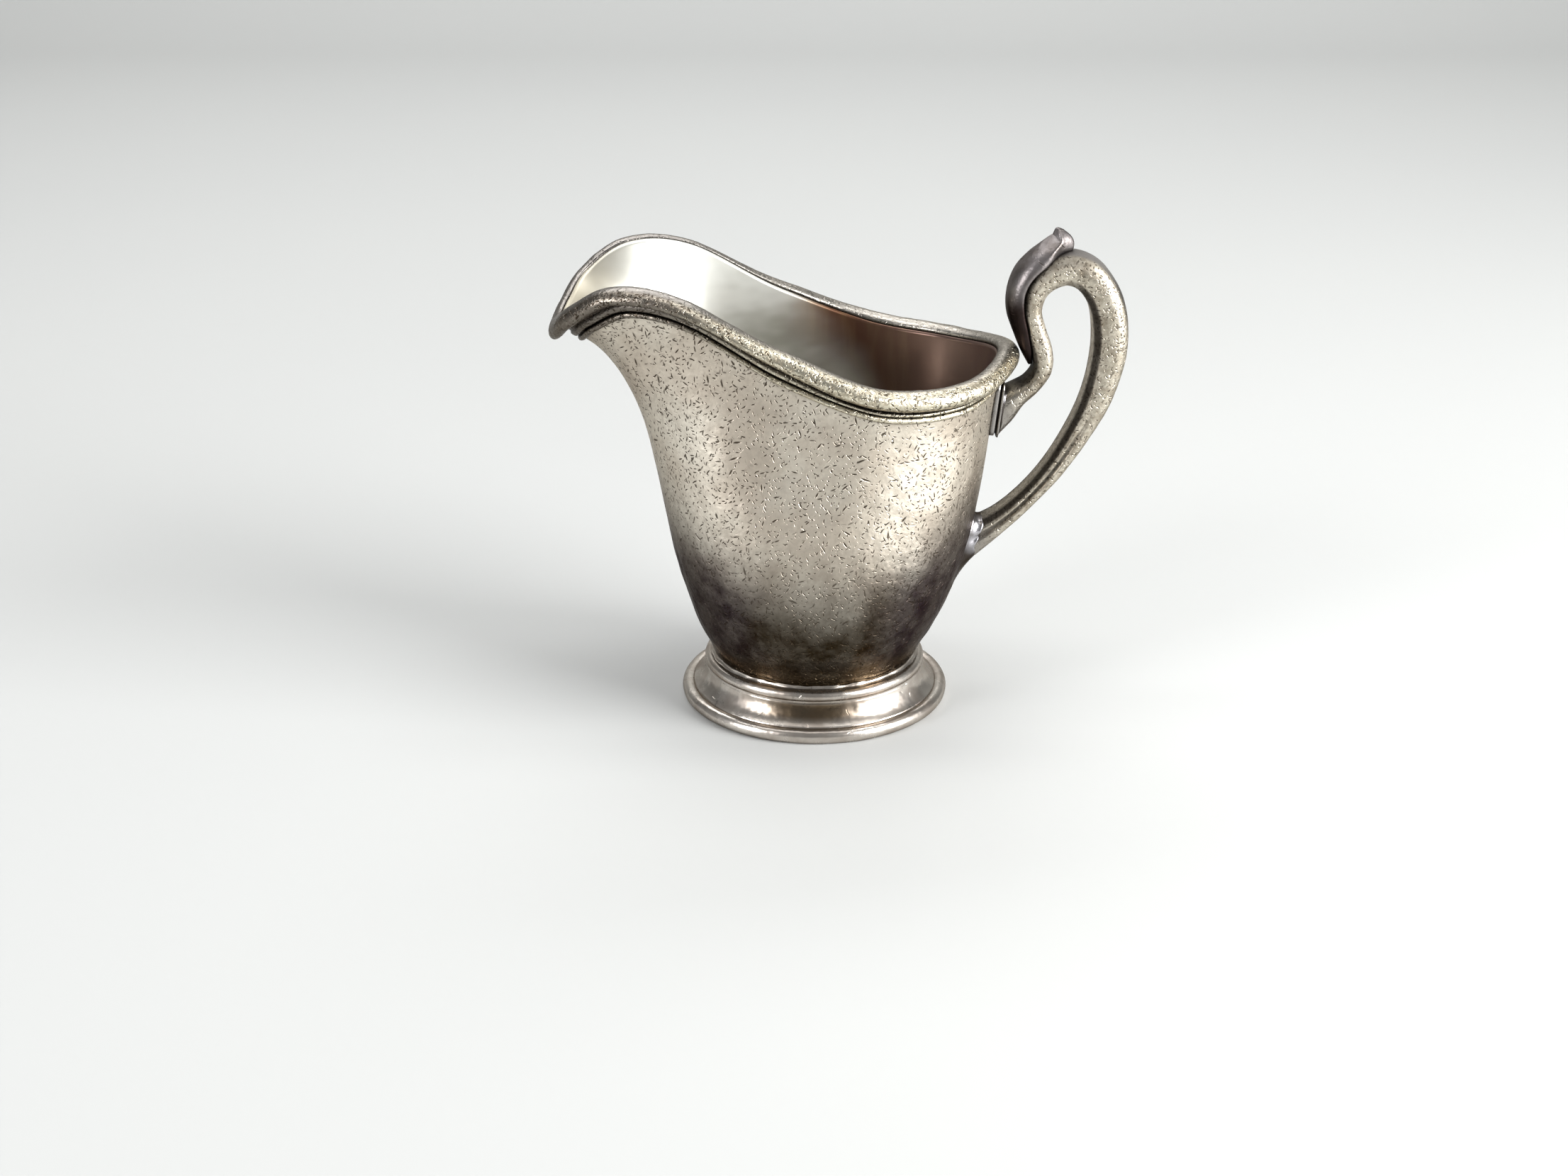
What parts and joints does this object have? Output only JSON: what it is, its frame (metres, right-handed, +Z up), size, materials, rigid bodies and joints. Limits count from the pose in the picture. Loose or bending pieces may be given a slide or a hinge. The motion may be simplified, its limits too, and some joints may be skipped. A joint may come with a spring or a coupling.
{
  "type": "cream jug",
  "caption": "Footed helmet-shaped cream jug with a rolled spout, bead and reed border, stepped round foot and cast scroll handle with a leaf thumb rest.",
  "frame": {"origin": "centre of the foot on the plane it rests on", "axes": "+Z up; +X from the foot's centre towards the handle, with the spout at -X; the XZ plane is the plane of symmetry"},
  "size_m": [0.1123, 0.0578, 0.0964],
  "materials": {
    "body_silver": "worn satin silver plate, pitted, with brown tarnish low down and inside",
    "border_silver": "worn bright silver plate, pitted, dark in the grooves",
    "foot_silver": "smooth bright silver plate with light tarnish",
    "handle_silver": "worn satin silver plate, pitted, dark in the hollows",
    "solder_silver": "smooth bright solder under plate"
  },
  "bodies": {
    "root": {"body_shell": "body_silver", "rim_bead": "border_silver", "rim_reed": "border_silver", "foot_ring": "foot_silver", "foot_base_wire": "foot_silver", "foot_solder_seam": "solder_silver", "handle_casting": "handle_silver", "thumb_leaf": "handle_silver", "upper_handle_pad": "handle_silver", "lower_handle_pad": "handle_silver", "upper_pad_solder": "solder_silver", "lower_pad_solder": "solder_silver"}
  },
  "joints": []
}
